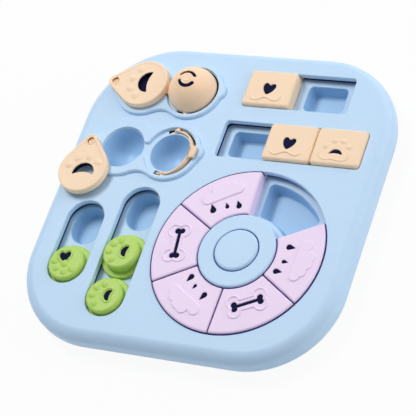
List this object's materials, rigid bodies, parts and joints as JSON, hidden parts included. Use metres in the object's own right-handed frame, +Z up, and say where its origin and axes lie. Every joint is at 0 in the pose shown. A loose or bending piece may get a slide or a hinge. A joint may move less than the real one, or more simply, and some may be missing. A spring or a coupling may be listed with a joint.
{
  "type": "dog puzzle feeder board",
  "caption": "Rounded square dog puzzle feeder: sliding blocks, discs and ring sectors, swivel lids and rolling dome lids over food wells, and a push button.",
  "frame": {"origin": "centre of the board on the surface it stands on", "axes": "+Z up; +X along the square slots, away from the bowl rows; +Y from the round-ended slots towards the upper bowl row"},
  "size_m": [0.26, 0.26, 0.0432],
  "materials": {
    "board_plastic": "satin",
    "peach_plastic": "satin",
    "green_plastic": "satin",
    "lilac_plastic": "satin",
    "grey_rubber": "matte",
    "steel": "satin"
  },
  "bodies": {
    "case": {"cover_over_rows": "board_plastic", "cover_over_blocks": "board_plastic", "cover_over_discs": "board_plastic", "cover_over_ring": "board_plastic", "cover_wall_left": "board_plastic", "cover_wall_right": "board_plastic", "cover_posts": "board_plastic", "base_pan": "board_plastic", "pan_wall": "board_plastic", "pan_pads": "board_plastic", "upper_block_collar": "board_plastic", "lower_block_collar": "board_plastic", "left_disc_collar": "board_plastic", "right_disc_collar": "board_plastic", "ring_collar": "board_plastic", "upper_block_ledge": "board_plastic", "lower_block_ledge": "board_plastic", "left_disc_ledge": "board_plastic", "right_disc_ledge": "board_plastic", "ring_ledge": "board_plastic", "hub_post": "board_plastic", "square_cup_1": "board_plastic", "square_cup_2": "board_plastic", "square_cup_3": "board_plastic", "square_cup_4": "board_plastic", "square_cup_5": "board_plastic", "round_cup_1": "board_plastic", "round_cup_2": "board_plastic", "round_cup_3": "board_plastic", "round_cup_4": "board_plastic", "round_cup_5": "board_plastic", "sector_cup_1": "board_plastic", "sector_cup_2": "board_plastic", "sector_cup_3": "board_plastic", "sector_cup_4": "board_plastic", "sector_cup_5": "board_plastic", "sector_cup_6": "board_plastic", "bowl_row_1": "board_plastic", "bowl_row_2": "board_plastic", "lid_pins": "peach_plastic", "hub_ring": "board_plastic", "squeaker_bellows": "grey_rubber", "screws": "steel", "rubber_feet": "grey_rubber"},
    "swivel_lid_1": {"swivel_lid_1": "peach_plastic"},
    "swivel_lid_2": {"swivel_lid_2": "peach_plastic"},
    "dome_lid_1": {"dome_lid_1": "peach_plastic"},
    "dome_lid_2": {"dome_lid_2": "peach_plastic"},
    "block_1": {"block_1": "peach_plastic"},
    "block_2": {"block_2": "peach_plastic"},
    "block_3": {"block_3": "peach_plastic"},
    "disc_1": {"disc_1": "green_plastic"},
    "disc_2": {"disc_2": "green_plastic"},
    "disc_3": {"disc_3": "green_plastic"},
    "ring_segment_1": {"ring_segment_1": "lilac_plastic"},
    "ring_segment_2": {"ring_segment_2": "lilac_plastic"},
    "ring_segment_3": {"ring_segment_3": "lilac_plastic"},
    "ring_segment_4": {"ring_segment_4": "lilac_plastic"},
    "ring_segment_5": {"ring_segment_5": "lilac_plastic"},
    "centre_button": {"centre_button": "board_plastic"}
  },
  "joints": [
    {"name": "swivel_lid_1_turn", "type": "hinge", "parent": "case", "child": "swivel_lid_1", "pos_m": [-0.1085, 0.0884, 0.0288], "axis": [0, 0, 1], "range_deg": [0, 90]},
    {"name": "swivel_lid_2_turn", "type": "hinge", "parent": "case", "child": "swivel_lid_2", "pos_m": [-0.1085, 0.0326, 0.0288], "axis": [0, 0, 1], "range_deg": [0, 85]},
    {"name": "dome_lid_1_roll", "type": "hinge", "parent": "case", "child": "dome_lid_1", "pos_m": [-0.0412, 0.0884, 0.0236], "axis": [0, 1, 0], "range_deg": [0, 165]},
    {"name": "dome_lid_2_roll", "type": "hinge", "parent": "case", "child": "dome_lid_2", "pos_m": [-0.0412, 0.0326, 0.0236], "axis": [0, 1, 0], "range_deg": [-165, 0]},
    {"name": "block_1_slide", "type": "slide", "parent": "case", "child": "block_1", "axis": [1, 0, 0], "range_m": [0, 0.0468]},
    {"name": "block_2_slide", "type": "slide", "parent": "case", "child": "block_2", "axis": [1, 0, 0], "range_m": [-0.0395, 0]},
    {"name": "block_3_slide", "type": "slide", "parent": "case", "child": "block_3", "axis": [1, 0, 0], "range_m": [-0.0395, 0]},
    {"name": "disc_1_slide", "type": "slide", "parent": "case", "child": "disc_1", "axis": [0, 1, 0], "range_m": [0, 0.0394]},
    {"name": "disc_2_slide", "type": "slide", "parent": "case", "child": "disc_2", "axis": [0, 1, 0], "range_m": [0, 0.0414]},
    {"name": "disc_3_slide", "type": "slide", "parent": "case", "child": "disc_3", "axis": [0, 1, 0], "range_m": [0, 0.0414]},
    {"name": "ring_turn", "type": "hinge", "parent": "case", "child": "ring_segment_1", "pos_m": [0.0423, -0.0435, 0.0167], "axis": [0, 0, 1], "continuous": true},
    {"name": "ring_segment_2_turn", "type": "hinge", "parent": "case", "child": "ring_segment_2", "pos_m": [0.0423, -0.0435, 0.0167], "axis": [0, 0, 1], "continuous": true},
    {"name": "ring_segment_3_turn", "type": "hinge", "parent": "case", "child": "ring_segment_3", "pos_m": [0.0423, -0.0435, 0.0167], "axis": [0, 0, 1], "continuous": true},
    {"name": "ring_segment_4_turn", "type": "hinge", "parent": "case", "child": "ring_segment_4", "pos_m": [0.0423, -0.0435, 0.0167], "axis": [0, 0, 1], "continuous": true},
    {"name": "ring_segment_5_turn", "type": "hinge", "parent": "ring_segment_4", "child": "ring_segment_5", "pos_m": [0.0423, -0.0435, 0.0167], "axis": [0, 0, 1], "range_deg": [0, 63]},
    {"name": "button_press", "type": "slide", "parent": "case", "child": "centre_button", "axis": [0, 0, -1], "range_m": [0, 0.003], "stiffness_N_per_m": 400, "springref_m": -0.002, "deforming": ["squeaker_bellows"]}
  ],
  "couplings": [
    {"joint": "block_3_slide", "follows": "block_2_slide", "ratio": 1},
    {"joint": "disc_3_slide", "follows": "disc_2_slide", "ratio": 1},
    {"joint": "ring_segment_2_turn", "follows": "ring_turn", "ratio": 1},
    {"joint": "ring_segment_3_turn", "follows": "ring_turn", "ratio": 1},
    {"joint": "ring_segment_4_turn", "follows": "ring_turn", "ratio": 1}
  ]
}
